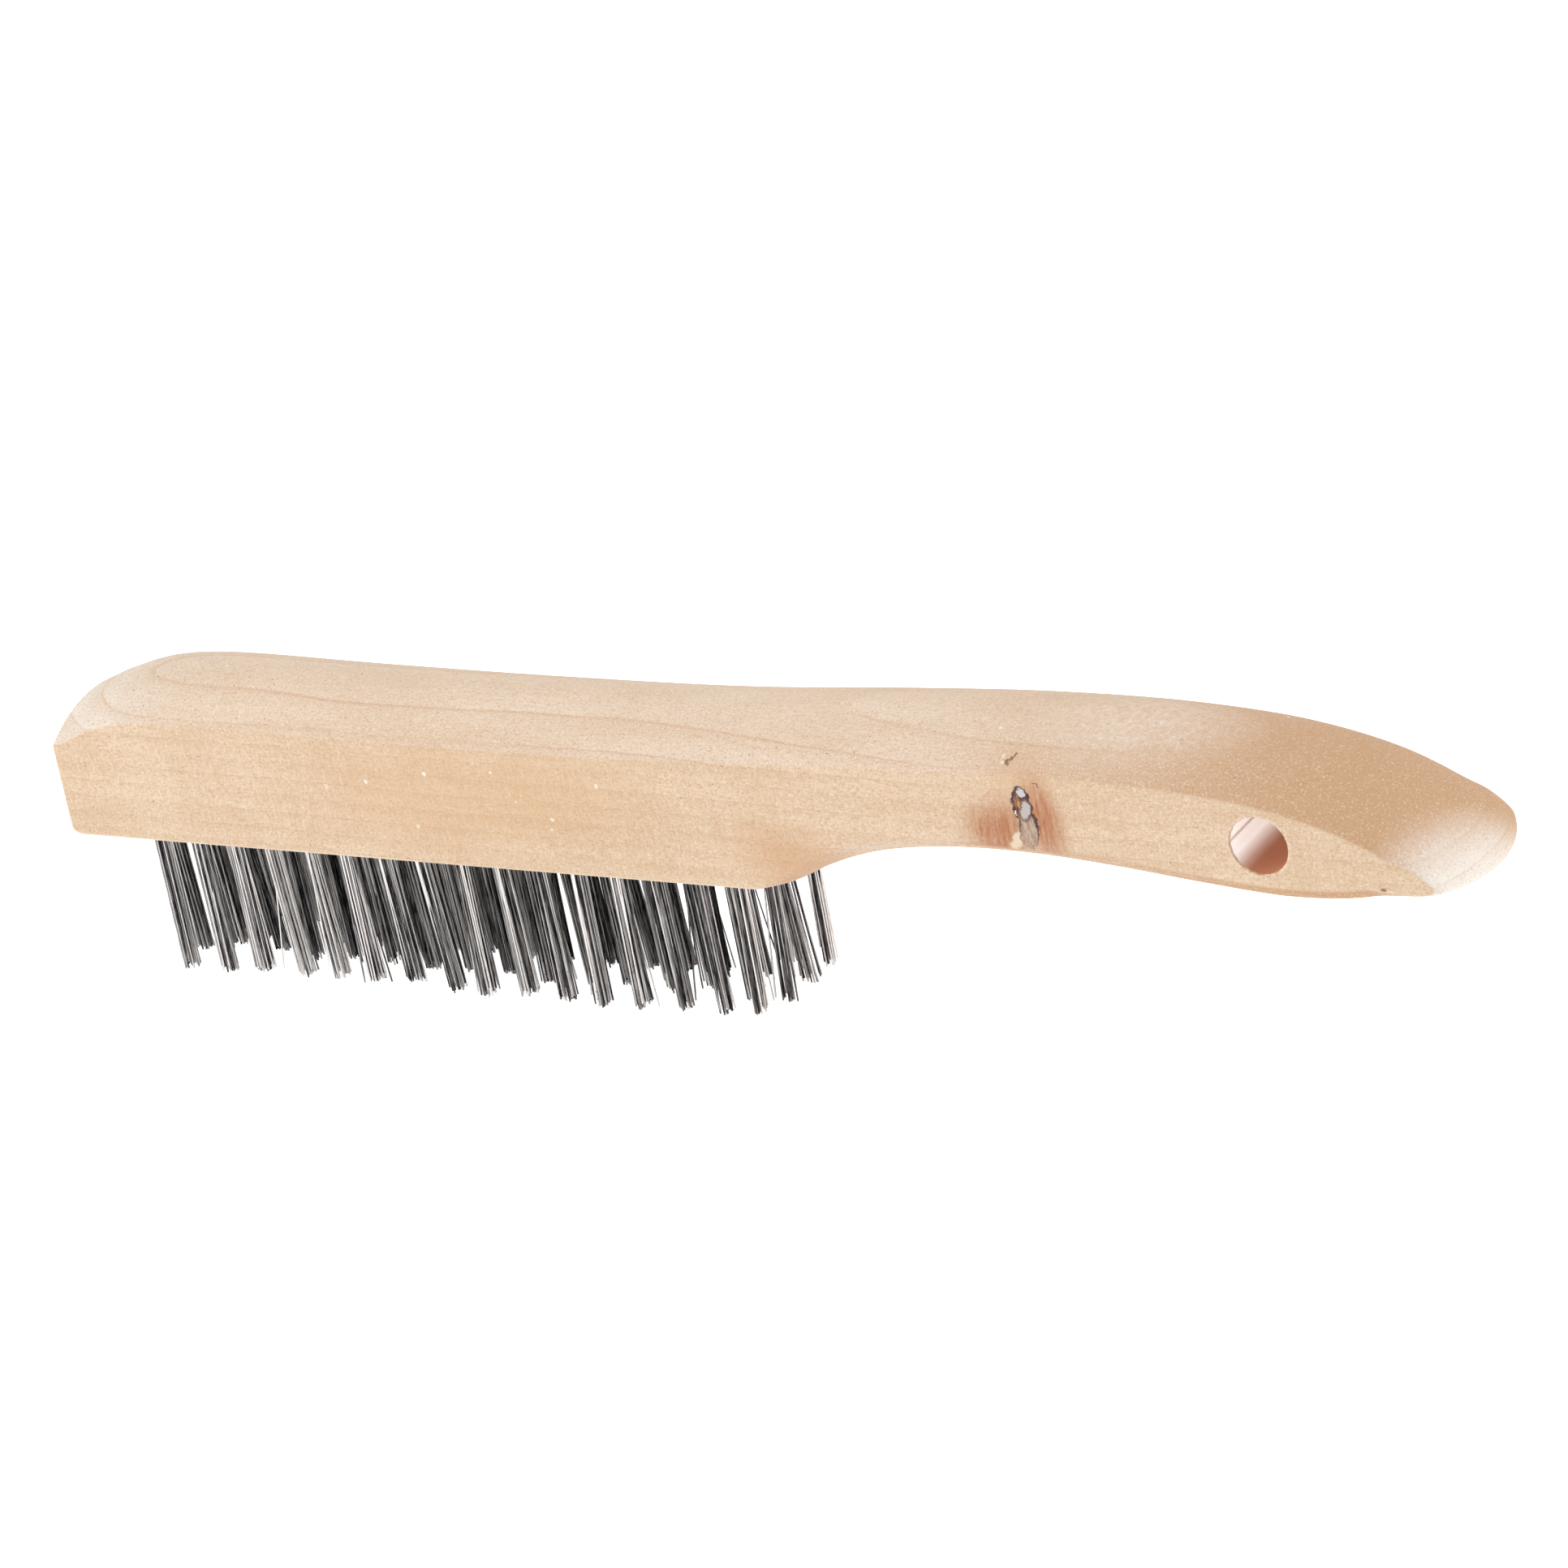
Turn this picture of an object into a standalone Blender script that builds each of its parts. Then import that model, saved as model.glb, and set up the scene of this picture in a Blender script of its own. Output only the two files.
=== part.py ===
"""Shoe-handle wire scratch brush: one wooden block with four lengthwise lines of staple-set wire tufts.

Metres, +Z up. The bristle tips stand on Z = 0, +X runs from the nose to the handle's tip, and the block is
symmetric about Y = 0. The block is drawn from its nose face (x = 0) and its underside (z = 0), and its object
is then placed above the tips.
"""

import math

import bmesh
import bpy
import numpy as np

MM = 0.001

# Block
LENGTH = 260.0 * MM
HALF_WIDTH = 14.4 * MM
CROWN_RADIUS = 24.7 * MM
NOSE_OVERRUN = 8.0 * MM
NOSE_UNDER_RADIUS = 2.5 * MM
NOSE_EDGE_RADIUS = 0.9 * MM
EDGE_RADIUS = 3.3 * MM
TIP_START = 245.0
TIP_AIM = (244.0, 10.5)
SPLINE_STEPS = 3
EDGE_STEPS = 4
FLAT_STEPS = 4

# Hanging hole
HANG_RADIUS = 4.8 * MM
HANG_X = 226.9 * MM
HANG_Z = 14.4 * MM
HANG_SIDES = 36

# Tufts
TRIM = 25.2 * MM
ROWS = 16
TUFTS_PER_ROW = 4
FIRST_ROW_X = 15.4 * MM
ROW_PITCH = 7.65 * MM
TUFT_PITCH = 6.4 * MM
FIRST_SHIFT = -2.4 * MM
SHIFT_STEP = 0.31 * MM
TUFT_RADIUS = 1.8 * MM
TIP_HALF_X = 2.6 * MM
TIP_HALF_Y = 4.2 * MM
TUFT_SIDES = 10
HOLE_RADIUS = 2.12 * MM
HOLE_DEPTH = 12.5 * MM
CLEARANCE = 0.3 * MM

# Anchors: flat steel wire, one piece across each tuft
ANCHOR_THICK = 0.5 * MM
ANCHOR_DEEP = 2.0 * MM
ANCHOR_LONG = 6.0 * MM
ANCHOR_NECK = 0.6 * MM
NECK_WIDE = 0.8 * MM
NECK_PAST = 0.15 * MM
FOLD_THICK = 0.8 * MM

# The block's outline in side view, in millimetres: x, z, how far the crown has given way to plain rounded
# edges (0 crown, 1 rounded edges), and the rounded edge's share of EDGE_RADIUS. It starts behind the nose, runs
# over the crown and round the tip, and comes back along the grip to the heel.
OUTLINE = (
    (1.4, 21.7, 0.0, 1.0),
    (6.5, 23.8, 0.0, 1.0),
    (13.4, 25.8, 0.0, 1.0),
    (22.0, 26.6, 0.0, 1.0),
    (56.0, 26.1, 0.0, 1.0),
    (91.0, 25.8, 0.0, 1.0),
    (126.0, 26.1, 0.0, 1.0),
    (156.5, 27.6, 0.0, 1.0),
    (182.0, 28.5, 0.0, 1.0),
    (207.0, 28.1, 0.0, 1.0),
    (227.0, 26.0, 0.0, 1.0),
    (241.6, 22.1, 0.0, 1.0),
    (250.9, 17.5, 0.0, 1.0),
    (256.6, 13.2, 0.0, 1.0),
    (260.0, 8.6, 0.0, 1.0),
    (256.6, 5.6, 0.3, 1.0),
    (250.0, 5.3, 0.7, 1.0),
    (241.0, 5.4, 1.0, 1.0),
    (229.0, 5.3, 1.0, 1.0),
    (215.0, 6.4, 1.0, 1.0),
    (201.0, 8.0, 1.0, 1.0),
    (187.0, 9.1, 1.0, 1.0),
    (174.5, 9.2, 1.0, 1.0),
    (166.5, 8.6, 1.0, 1.0),
    (158.3, 7.2, 1.0, 1.0),
    (150.0, 4.5, 1.0, 0.9),
    (143.3, 1.6, 1.0, 0.5),
    (136.4, 0.0, 1.0, 0.0),
)

WOOD = (0.80, 0.60, 0.38, 1.0)
WIRE = (0.30, 0.30, 0.31, 1.0)
ANCHOR = (0.55, 0.55, 0.54, 1.0)


def clear_scene():
    for obj in list(bpy.data.objects):
        bpy.data.objects.remove(obj, do_unlink=True)


def material(name, colour, roughness, metallic):
    made = bpy.data.materials.new(name)
    made.use_nodes = True
    shader = made.node_tree.nodes["Principled BSDF"]
    shader.inputs["Base Color"].default_value = colour
    shader.inputs["Roughness"].default_value = roughness
    shader.inputs["Metallic"].default_value = metallic
    return made


def object_from(bm, name, look=None, at=(0.0, 0.0, 0.0)):
    """A new object in the scene from this bmesh, with its normals outward."""
    bmesh.ops.recalc_face_normals(bm, faces=bm.faces)
    mesh = bpy.data.meshes.new(name)
    bm.to_mesh(mesh)
    bm.free()
    obj = bpy.data.objects.new(name, mesh)
    obj.location = at
    bpy.context.scene.collection.objects.link(obj)
    if look:
        mesh.materials.append(look)
    return obj


def helper_from(bm, name, at=(0.0, 0.0, 0.0)):
    """A cutter, or a piece to be joined, that isn't part of the object."""
    obj = object_from(bm, name, at=at)
    obj.hide_render = True
    obj.display_type = "WIRE"
    return obj


def boolean(obj, other, operation):
    step = obj.modifiers.new(f"{operation.lower()} {other.name}", "BOOLEAN")
    step.operation = operation
    step.solver = "EXACT"
    step.object = other


def smooth(obj, angle):
    """Shades round stretches smooth and keeps real edges sharp."""
    for face in obj.data.polygons:
        face.use_smooth = True
    obj.data.set_sharp_from_angle(angle=angle)


def spline(points, steps):
    """A centripetal Catmull-Rom curve through the points, each a row of any length whose first two are x and z."""
    rows = np.array(points, float)
    rows = np.vstack([2 * rows[0] - rows[1], rows, 2 * rows[-1] - rows[-2]])
    found = []
    for i in range(1, len(rows) - 2):
        four = rows[i - 1 : i + 3]
        knots = np.concatenate([[0.0], np.cumsum(np.linalg.norm(np.diff(four[:, :2], axis=0), axis=1) ** 0.5)])
        for t in np.linspace(knots[1], knots[2], steps, endpoint=False):
            level = list(four)
            for reach in (1, 2):
                level = [
                    ((knots[k + reach] - t) * level[k] + (t - knots[k]) * level[k + 1])
                    / (knots[k + reach] - knots[k])
                    for k in range(len(level) - 1)
                ]
            found.append(((knots[2] - t) * level[0] + (t - knots[1]) * level[1]) / (knots[2] - knots[1]))
    found.append(rows[-2])
    return np.array(found)


def with_inward(points):
    """Each outline row with the unit direction into the block added.

    It is square to the chord of the row's neighbours, and fans out from one point round the tip.
    """
    rows = np.array(points, float)
    longer = np.vstack([2 * rows[0] - rows[1], rows, 2 * rows[-1] - rows[-2]])
    chord = longer[2:, :2] - longer[:-2, :2]
    inward = np.stack([chord[:, 1], -chord[:, 0]], axis=1)
    tip = rows[:, 0] > TIP_START
    inward[tip] = TIP_AIM - rows[tip, :2]
    inward /= np.linalg.norm(inward, axis=1)[:, None]
    return np.hstack([rows, inward])


def cross_section(rounded, share):
    """(y, depth) pairs from side to side: how far the surface lies inside the outline at each y."""
    count = 2 * EDGE_STEPS + FLAT_STEPS
    half_angle = math.asin(HALF_WIDTH / CROWN_RADIUS)
    radius = EDGE_RADIUS * max(share, 0.0)
    pairs = []
    for k in range(count + 1):
        angle = half_angle * (2 * k / count - 1)
        crown = (CROWN_RADIUS * math.sin(angle), CROWN_RADIUS * (1 - math.cos(angle)))
        from_side = min(k, count - k)
        side = -1 if k < count - k else 1
        if from_side <= EDGE_STEPS:
            turn = 0.5 * math.pi * from_side / EDGE_STEPS
            edge = (side * (HALF_WIDTH - radius + radius * math.cos(turn)), radius * (1 - math.sin(turn)))
        else:
            inner = HALF_WIDTH - radius
            edge = (inner * (2 * (k - EDGE_STEPS) / FLAT_STEPS - 1), 0.0)
        pairs.append([(1 - rounded) * a + rounded * b for a, b in zip(crown, edge)])
    return pairs


def block_mesh():
    """Outlines side by side across the width, joined to each other, then cut square at the nose."""
    curve = spline(with_inward(OUTLINE), SPLINE_STEPS)
    curve[-1, 4:] = (0.0, 1.0)
    over_nose = curve[0] + (curve[0] - curve[1]) * NOSE_OVERRUN / MM / (curve[1, 0] - curve[0, 0])
    under_nose = curve[-1].copy()
    under_nose[0] = over_nose[0]
    curve = np.vstack([over_nose, curve, under_nose])
    bm = bmesh.new()
    rings = []
    for x, z, rounded, share, inward_x, inward_z in curve:
        size = math.hypot(inward_x, inward_z)
        ring = []
        for y, depth in cross_section(min(max(rounded, 0.0), 1.0), share):
            ring.append(
                bm.verts.new((x * MM + depth * inward_x / size, y, z * MM + depth * inward_z / size))
            )
        rings.append(ring)
    for ring, following in zip(rings, rings[1:] + rings[:1]):
        for k in range(len(ring) - 1):
            bm.faces.new((ring[k], ring[k + 1], following[k + 1], following[k]))
    for k in (0, -1):
        bm.faces.new([ring[k] for ring in rings])
    bmesh.ops.remove_doubles(bm, verts=bm.verts, dist=0.01 * MM)
    cut = bmesh.ops.bisect_plane(
        bm,
        geom=bm.verts[:] + bm.edges[:] + bm.faces[:],
        plane_co=(0, 0, 0),
        plane_no=(1, 0, 0),
        clear_inner=True,
    )
    rim = [part for part in cut["geom_cut"] if isinstance(part, bmesh.types.BMEdge)]
    nose = bmesh.ops.contextual_create(bm, geom=rim)["faces"][0]
    bmesh.ops.recalc_face_normals(bm, faces=bm.faces)
    under = [edge for edge in nose.edges if max(vert.co.z for vert in edge.verts) < 0.1 * MM]
    bmesh.ops.bevel(
        bm, geom=under, offset=NOSE_UNDER_RADIUS, segments=4, affect="EDGES", profile=0.5, clamp_overlap=False
    )
    bm.faces.ensure_lookup_table()
    nose = min(bm.faces, key=lambda face: (round(face.calc_center_median().x, 6), -face.calc_area()))
    rest = [edge for edge in nose.edges if max(vert.co.z for vert in edge.verts) > NOSE_UNDER_RADIUS + 0.1 * MM]
    bmesh.ops.bevel(
        bm, geom=rest, offset=NOSE_EDGE_RADIUS, segments=2, affect="EDGES", profile=0.5, clamp_overlap=False
    )
    return bm


def row_x(row):
    return FIRST_ROW_X + row * ROW_PITCH


def tuft_places(row):
    """(x, y) of the row's four tufts. Every other line is spaced a little wider, so it drifts along the row."""
    shift = FIRST_SHIFT + row * SHIFT_STEP
    half = (TUFTS_PER_ROW - 1) / 2
    return [(row_x(row) + shift * (k % 2), (k - half) * TUFT_PITCH) for k in range(TUFTS_PER_ROW)]


def cylinder(bm, radius, low, high, at_x, at_y, sides):
    """An upright prism from low to high."""
    made = bmesh.ops.create_cone(
        bm, cap_ends=True, segments=sides, radius1=radius, radius2=radius, depth=high - low
    )
    bmesh.ops.translate(bm, verts=made["verts"], vec=(at_x, at_y, (low + high) / 2))


def box(bm, low, high):
    made = bmesh.ops.create_cube(bm, size=1.0)
    size = [b - a for a, b in zip(low, high)]
    bmesh.ops.scale(bm, verts=made["verts"], vec=size)
    bmesh.ops.translate(bm, verts=made["verts"], vec=[(a + b) / 2 for a, b in zip(low, high)])


def anchor_boxes(bm, places, gap):
    """An anchor at each place, edge on and grown by the gap; z = 0 is the block's underside."""
    reach = ANCHOR_LONG / 2 + gap
    wide = ANCHOR_THICK / 2 + gap
    top = HOLE_DEPTH - 2 * CLEARANCE - FOLD_THICK
    for x, y in places:
        box(bm, (x - wide, y - reach, top - ANCHOR_DEEP - gap), (x + wide, y + reach, top + gap))


def neck_boxes(bm, places, gap):
    """The thin necks that hold one row's anchors together, each grown by the gap."""
    middle = HOLE_DEPTH - 2 * CLEARANCE - FOLD_THICK - ANCHOR_DEEP / 2
    half_y, half_z, past = NECK_WIDE / 2 + gap, ANCHOR_NECK / 2 + gap, NECK_PAST + gap
    for (x, y), (next_x, next_y) in zip(places, places[1:]):
        between = (y + next_y) / 2
        low = (min(x, next_x) - past, between - half_y, middle - half_z)
        box(bm, low, (max(x, next_x) + past, between + half_y, middle + half_z))


def slot_cutters(rows):
    """The room round the anchors and necks of these rows, as three bmeshes whose boxes keep clear of each other."""
    cutters = [bmesh.new() for _ in range(3)]
    for row in rows:
        places = tuft_places(row)
        anchor_boxes(cutters[0], places[::2], CLEARANCE)
        anchor_boxes(cutters[1], places[1::2], CLEARANCE)
        neck_boxes(cutters[2], places, CLEARANCE)
    return cutters


def handle_block(look, base):
    block = object_from(block_mesh(), "handle_block", look, base)

    drills = bmesh.new()
    for row in range(ROWS):
        for x, y in tuft_places(row):
            cylinder(drills, HOLE_RADIUS, -HOLE_DEPTH, HOLE_DEPTH, x, y, TUFT_SIDES)
    boolean(block, helper_from(drills, "tuft holes", base), "DIFFERENCE")
    for k, slots in enumerate(slot_cutters(range(ROWS))):
        boolean(block, helper_from(slots, f"slots {k + 1}", base), "DIFFERENCE")

    drill = bmesh.new()
    bmesh.ops.create_cone(
        drill, cap_ends=True, segments=HANG_SIDES, radius1=HANG_RADIUS, radius2=HANG_RADIUS, depth=4 * HALF_WIDTH
    )
    for vert in drill.verts:
        vert.co = (vert.co.x, vert.co.z, vert.co.y)
    at = (base[0] + HANG_X, base[1], base[2] + HANG_Z)
    boolean(block, helper_from(drill, "hanging hole", at), "DIFFERENCE")
    smooth(block, math.radians(35))
    return block


def tuft(x, y):
    """One bundle from its fold, inside the hole, to its splayed tips; z = 0 is the block's underside."""
    stations = (
        (HOLE_DEPTH - CLEARANCE, 0.8 * TUFT_RADIUS, 0.8 * TUFT_RADIUS),
        (HOLE_DEPTH - CLEARANCE - 0.5 * MM, TUFT_RADIUS, TUFT_RADIUS),
        (0.0, TUFT_RADIUS, TUFT_RADIUS),
        (-0.6 * TRIM, 0.8 * TUFT_RADIUS + 0.2 * TIP_HALF_X, 0.8 * TUFT_RADIUS + 0.2 * TIP_HALF_Y),
        (-TRIM, TIP_HALF_X, TIP_HALF_Y),
    )
    bm = bmesh.new()
    rings = []
    for z, half_x, half_y in stations:
        ring = []
        for k in range(TUFT_SIDES):
            angle = 2 * math.pi * (k + 0.5) / TUFT_SIDES
            ring.append(bm.verts.new((x + half_x * math.cos(angle), y + half_y * math.sin(angle), z)))
        rings.append(ring)
    for upper, lower in zip(rings, rings[1:]):
        for k in range(TUFT_SIDES):
            bm.faces.new((upper[k], upper[k - 1], lower[k - 1], lower[k]))
    bm.faces.new(rings[0])
    bm.faces.new(rings[-1])
    return bm


def combined(name, joined, taken=()):
    """One mesh: the first bmesh with the rest of `joined` united to it and each of `taken` cut out of it."""
    helpers = [helper_from(bm, f"{name} {k}") for k, bm in enumerate((*joined, *taken))]
    for k, helper in enumerate(helpers[1:], 1):
        boolean(helpers[0], helper, "UNION" if k < len(joined) else "DIFFERENCE")
    graph = bpy.context.evaluated_depsgraph_get()
    mesh = bpy.data.meshes.new_from_object(helpers[0].evaluated_get(graph))
    for helper in helpers:
        bpy.data.objects.remove(helper, do_unlink=True)
    return mesh


def tuft_row(row):
    """Four tufts whose tips run into each other, slotted where the anchors pass through the folds."""
    *slots, necks = slot_cutters([row])
    necks.free()
    return combined("tuft row", [tuft(x, y) for x, y in tuft_places(row)], slots)


def anchor_row(row):
    """Four flat anchors, one through each fold of a row, held together by thin necks."""
    anchors, necks = bmesh.new(), bmesh.new()
    anchor_boxes(anchors, tuft_places(row), 0.0)
    neck_boxes(necks, tuft_places(row), 0.0)
    return combined("anchor row", [anchors, necks])


def build_rows(name, make_mesh, look, base):
    """One object for each transverse row."""
    for row in range(ROWS):
        mesh = make_mesh(row)
        mesh.materials.clear()
        mesh.materials.append(look)
        obj = bpy.data.objects.new(f"{name}_{row + 1:02d}", mesh)
        obj.location = base
        bpy.context.scene.collection.objects.link(obj)


def main():
    clear_scene()
    base = (-LENGTH / 2, 0.0, TRIM)
    handle_block(material("block_wood", WOOD, 0.62, 0.0), base)
    build_rows("tuft_row", tuft_row, material("bristle_steel", WIRE, 0.38, 1.0), base)
    build_rows("anchor_row", anchor_row, material("anchor_steel", ANCHOR, 0.45, 1.0), base)


main()
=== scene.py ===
"""Looks of a shoe-handle wire scratch brush: a planed wooden block, sixteen rows of steel wire bundles, and a stage.

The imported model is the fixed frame. Every piece is made in metres in that frame, with its place in its mesh.
"""

import math

import bmesh
import bpy
import numpy as np
from mathutils import Matrix, Vector


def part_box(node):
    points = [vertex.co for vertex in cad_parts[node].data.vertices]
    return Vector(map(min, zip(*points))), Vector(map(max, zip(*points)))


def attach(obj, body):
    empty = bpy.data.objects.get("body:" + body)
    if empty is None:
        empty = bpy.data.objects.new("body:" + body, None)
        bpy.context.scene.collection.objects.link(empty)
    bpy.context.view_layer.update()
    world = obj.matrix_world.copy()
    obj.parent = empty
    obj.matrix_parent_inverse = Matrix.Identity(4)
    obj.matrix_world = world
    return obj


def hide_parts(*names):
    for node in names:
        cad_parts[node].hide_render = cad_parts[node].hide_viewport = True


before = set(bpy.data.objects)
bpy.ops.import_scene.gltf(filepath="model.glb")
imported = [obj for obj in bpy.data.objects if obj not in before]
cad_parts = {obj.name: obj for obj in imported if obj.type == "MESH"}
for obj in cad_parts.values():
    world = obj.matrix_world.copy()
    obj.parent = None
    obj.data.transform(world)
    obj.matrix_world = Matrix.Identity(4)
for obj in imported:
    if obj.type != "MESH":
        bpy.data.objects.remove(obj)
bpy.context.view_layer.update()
BLOCK_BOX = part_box("handle_block")

bl_info = {
    "name": "Wire Scratch Brush",
    "version": (1, 0, 0),
    "blender": (4, 5, 0),
    "location": "View3D > Sidebar > Brush",
    "description": "Builds a wooden wire scratch brush with its wood, wires and studio stage",
    "category": "Object",
}

MM = 0.001

# The block is drawn from its nose face (x = 0) and its underside (z = 0), in millimetres.
BASE = Vector((BLOCK_BOX[0].x, 0.0, BLOCK_BOX[0].z))
HALF_WIDTH = BLOCK_BOX[1].y / MM
CROWN_RADIUS = 24.7
EDGE_RADIUS = 3.3
UNDER_EDGE_SHARE = 0.08
HEAD_CREASE, GRIP_CREASE = 0.4, 2.6
CREASE_SPAN = (120.0, 190.0)
TIP_START = 245.0
TIP_AIM = (244.0, 10.5)
NOSE_DEPTH = 2.5
NOSE_EDGE = 0.9
NOSE_OVERRUN = 8.0
SPLINE_STEPS = 9
EDGE_COLUMNS = 8
TOP_COLUMNS = 16

# x, z, how far the crown has given way to plain rounded edges, and the rounded edge's share of EDGE_RADIUS
OUTLINE = (
    (1.4, 21.7, 0.0, 1.0),
    (6.5, 23.8, 0.0, 1.0),
    (13.4, 25.8, 0.0, 1.0),
    (22.0, 26.6, 0.0, 1.0),
    (56.0, 26.1, 0.0, 1.0),
    (91.0, 25.8, 0.0, 1.0),
    (126.0, 26.1, 0.0, 1.0),
    (156.5, 27.6, 0.0, 1.0),
    (182.0, 28.5, 0.0, 1.0),
    (207.0, 28.1, 0.0, 1.0),
    (227.0, 26.0, 0.0, 1.0),
    (241.6, 22.1, 0.0, 1.0),
    (250.9, 17.5, 0.0, 1.0),
    (256.6, 13.2, 0.0, 1.0),
    (260.0, 8.1, 0.0, 1.0),
    (256.6, 6.4, 0.0, 1.0),
    (250.0, 5.4, 0.35, 1.0),
    (241.0, 5.0, 0.8, 1.0),
    (229.0, 5.1, 1.0, 1.0),
    (215.0, 6.4, 1.0, 1.0),
    (201.0, 8.0, 1.0, 1.0),
    (187.0, 9.1, 1.0, 1.0),
    (174.5, 9.2, 1.0, 1.0),
    (166.5, 8.6, 1.0, 1.0),
    (158.3, 7.2, 1.0, 1.0),
    (150.0, 4.5, 1.0, 0.9),
    (143.3, 1.6, 1.0, 0.5),
    (136.4, 0.0, 1.0, 0.0),
)

# Hanging hole and tuft holes
HANG_RADIUS = 4.8
HANG_AT = (226.9, 14.4)
HANG_SIDES = 96
ROWS = 16
TUFTS_PER_ROW = 4
FIRST_ROW_X = 15.4
ROW_PITCH = 7.65
TUFT_PITCH = 6.4
FIRST_SHIFT = -2.4
SHIFT_STEP = 0.31
TUFT_RADIUS = 1.52
HOLE_RADIUS = 2.12
HOLE_DEPTH = 12.5
HOLE_SIDES = 24
ANCHOR_SLOT = (1.1, 6.6, 2.6)
NECK_SLOT = (0.9, 1.4, 1.2)
ANCHOR_MIDDLE = 10.1
ANCHOR_TOP = 11.1
BUNDLE_LEAN = 0.03
END_LEANS = (-0.05, -0.05, 0.08, -0.04)

# Growth rings, and the marks in the wood. Places are in millimetres in the row frame, and each mark has a centre and
# its reach along each axis. The ticks and nicks are small cuts above the knot.
NEAR_SIDE = -HALF_WIDTH
RING_PITCH = 3.1
RING_SLOPE = 0.012
KNOT = (58.9, NEAR_SIDE, 42.0)
RUBBED = ((-44.0, NEAR_SIDE, 38.5), (30.0, 4, 9.5))
FUZZ = ((74.0, -2.0, 53.0), (14.0, 9.0, 4.0))
# Painted shade on the heel's underside, given as a centre and its reach
SHADED_HEEL = ((18.0, NEAR_SIDE, 29.0), (13.0, 40, 5.0))
TICKS = ((55.25, -12.85, 50.3), (55.7, -12.2, 50.6), (56.15, -11.55, 50.9))
NICKS = ((54.2, -12.0, 50.65), (54.4, -12.9, 50.25))
HOOK = (
    ((60.4, NEAR_SIDE, 47.55), (0.55, 1.5, 0.09), -4),
    ((60.72, NEAR_SIDE, 47.15), (0.09, 1.5, 0.45), 16),
)
SPECK = ((116.66, NEAR_SIDE, 33.9), (0.45, 1.5, 0.28))

# Tints of the wood's smaller marks, and of the painted highlights and shade on the tip, the hole wall and the heel
TIP_HIGHLIGHT_PALE = (0.95, 0.91, 0.84)
TIP_END_HIGHLIGHT = (0.98, 0.96, 0.93)
TAN_CLOUD = (0.60, 0.40, 0.235)
FIBRE_BROWN = (0.50, 0.30, 0.16)
FLECK_BROWN = (0.42, 0.23, 0.11)
SPECKLE_BROWN = (0.52, 0.31, 0.17)
SPECKLE_PALE = (0.95, 0.87, 0.75)
RAY_PALE = (0.93, 0.86, 0.74)
PORE = (0.12, 0.06, 0.035)
CUTTER_BROWN = (0.56, 0.35, 0.19)
RUBBED_TAN = (0.66, 0.41, 0.21)
CHIP_WHITE = (0.95, 0.92, 0.86)
NICK_WHITE = (0.92, 0.85, 0.75)
TICK_BROWN = (0.17, 0.07, 0.04)
HOOK_BROWN = (0.14, 0.06, 0.05)
SPECK_BROWN = (0.2, 0.09, 0.06)
FUZZ_WHITE = (0.92, 0.86, 0.79)
PAINTED_WALL_HIGHLIGHT = (0.85, 0.83, 0.80)
RIM_PALE = (0.90, 0.78, 0.62)
HEEL_SHADE_BROWN = (0.60, 0.33, 0.17)
CORNER_PALE = (0.93, 0.82, 0.66)
HALO_FAINT = (0.62, 0.33, 0.16)
KNOT_SPLIT = (0.80, 0.66, 0.50)
KNOT_RUST = (0.52, 0.24, 0.11)
KNOT_BROWN = (0.30, 0.17, 0.11)
KNOT_TAN = (0.60, 0.47, 0.36)
KNOT_CAP = (0.60, 0.57, 0.58)
KNOT_RESIN = (0.62, 0.27, 0.10)
KNOT_CHIP = (0.85, 0.76, 0.68)
DARK_STREAK = (0.20, 0.19, 0.185)
DULL_STEEL = (0.16, 0.13, 0.11)

# Name, direction from the brush, distance, sides and power of each soft panel
PANELS = (
    ("key_panel", (-0.45, -0.45, 0.85), 1.4, (1.0, 0.8), 8.0),
    ("side_panel", (-0.95, -0.35, 0.25), 1.4, (0.5, 0.5), 4.0),
    ("rim_panel", (0.9, 0.35, 0.45), 1.3, (0.7, 0.7), 6.0),
)
PANEL_AIM = (0.0, 0.0, 0.03)
WORLD_STRENGTH = 0.62
FLOOR_HEIGHT = -0.0008

# Camera
CAMERA_AT = (0.46637, -0.69547, 0.39552)
CAMERA_RIGHT = (0.85961, 0.48230, -0.16871)
CAMERA_UP = (-0.06119, 0.42499, 0.90313)
CAMERA_LENS = 130.43
CAMERA_SENSOR = 36.0


class BrushSizes(bpy.types.PropertyGroup):
    """Sizes of the wires and of the small edges that a user may change."""

    wire_radius: bpy.props.FloatProperty(
        name="Wire radius", description="Half the thickness of one wire", default=0.16 * MM, min=0.05 * MM,
        max=0.4 * MM, precision=5, unit="LENGTH",
    )
    wires_per_tuft: bpy.props.IntProperty(
        name="Wires per bundle", description="Folded wires in one bundle, each with two ends", default=24,
        min=4, max=90,
    )
    splay: bpy.props.FloatProperty(
        name="Splay", description="How much wider a bundle is at its tips than at its hole", default=1.04,
        min=1.0, max=2.0,
    )
    raggedness: bpy.props.FloatProperty(
        name="Raggedness", description="How far the cut ends stand apart in height", default=0.6 * MM, min=0.0,
        max=3 * MM, precision=5, unit="LENGTH",
    )
    hole_rim: bpy.props.FloatProperty(
        name="Hole rim", description="Width of the worn rim round the hanging hole", default=0.3 * MM, min=0.05 * MM,
        max=1 * MM, precision=5, unit="LENGTH",
    )
    floor_size: bpy.props.FloatProperty(
        name="Floor size", description="Side of the square floor", default=12.0, min=2.0, max=40.0, unit="LENGTH",
    )


def colour(name, description, value):
    """A colour that a user may change."""
    return bpy.props.FloatVectorProperty(
        name=name, description=description, default=value, size=3, min=0.0, max=1.0, subtype="COLOR",
    )


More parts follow.
